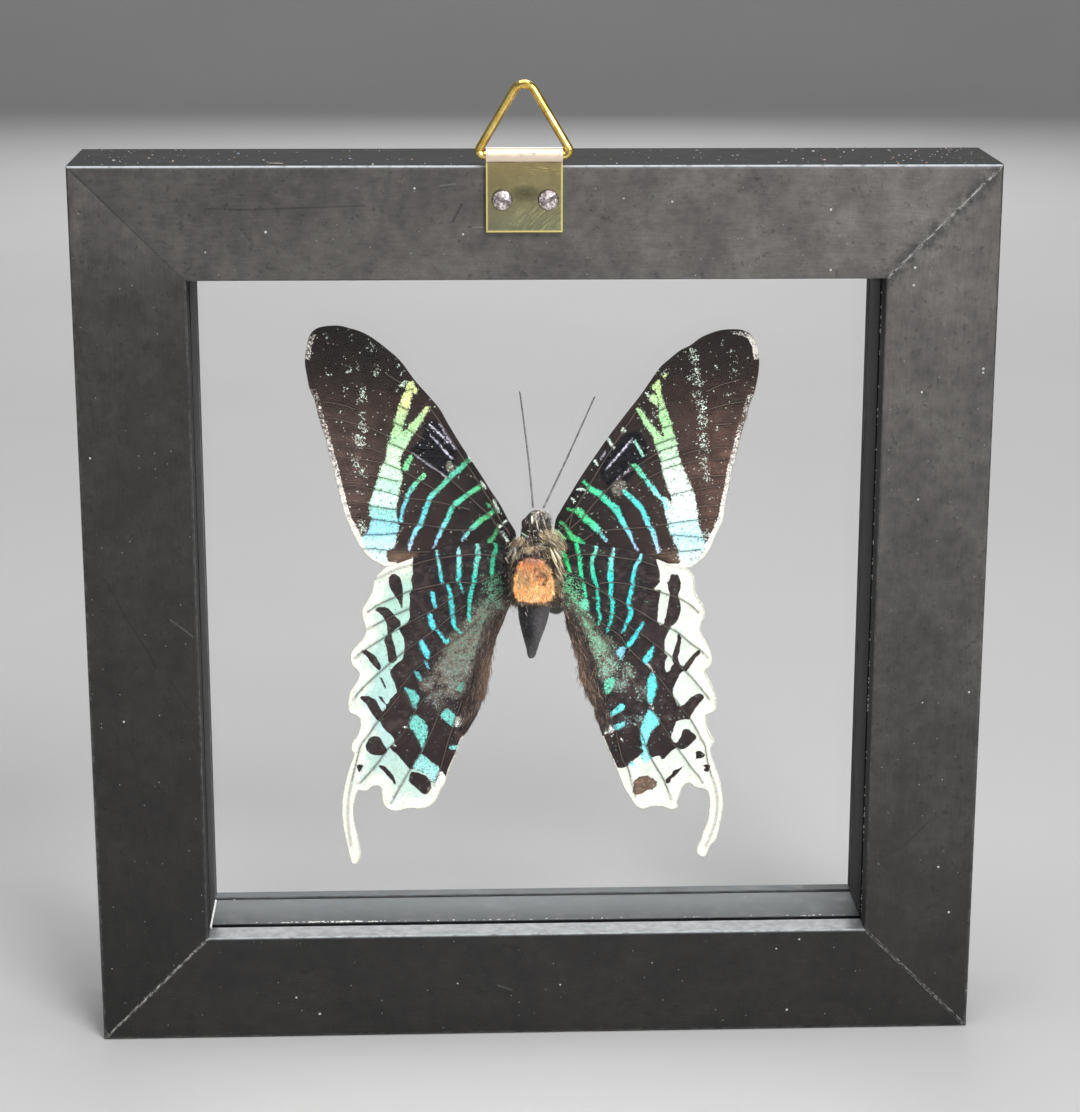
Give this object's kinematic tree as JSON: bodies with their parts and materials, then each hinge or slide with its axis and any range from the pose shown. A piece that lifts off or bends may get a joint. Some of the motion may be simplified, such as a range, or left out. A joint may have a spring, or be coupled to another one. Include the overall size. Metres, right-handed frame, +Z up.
{
  "type": "framed tailed moth specimen",
  "caption": "Small square black double-glass frame holding a spread, tailed, green-banded moth underside-out, with a brass strap hanger and a swinging triangular ring on its back.",
  "frame": {"origin": "centre of the bottom rail's underside, which the frame stands on", "axes": "+Z up along the frame's height, -Y out of the hanger's side (the back), +Y out of the display side, +X to the right seen from the hanger's side"},
  "size_m": [0.152, 0.026, 0.1657],
  "materials": {
    "black_wood": "satin",
    "pane": "gloss",
    "brass_plate": "satin",
    "brass_wire": "polished",
    "plated_screw": "polished",
    "moth_hair": "matte",
    "antenna": "matte",
    "forewing_scales": "satin",
    "hindwing_scales": "satin",
    "dried_glue": "gloss"
  },
  "bodies": {
    "frame": {"top_rail": "black_wood", "bottom_rail": "black_wood", "left_stile": "black_wood", "right_stile": "black_wood", "back_glass": "pane", "front_glass": "pane", "hanger_strap": "brass_plate", "screw_left": "plated_screw", "screw_right": "plated_screw", "moth_body": "moth_hair", "left_antenna": "antenna", "right_antenna": "antenna", "left_forewing": "forewing_scales", "right_forewing": "forewing_scales", "left_hindwing": "hindwing_scales", "right_hindwing": "hindwing_scales", "glue_patch": "dried_glue"},
    "ring": {"hanger_ring": "brass_wire"}
  },
  "joints": [
    {"name": "ring_swing", "type": "hinge", "parent": "frame", "child": "ring", "pos_m": [-0.0023, -0.0126, 0.1536], "axis": [1, 0, 0], "range_deg": [-88, 150]}
  ]
}
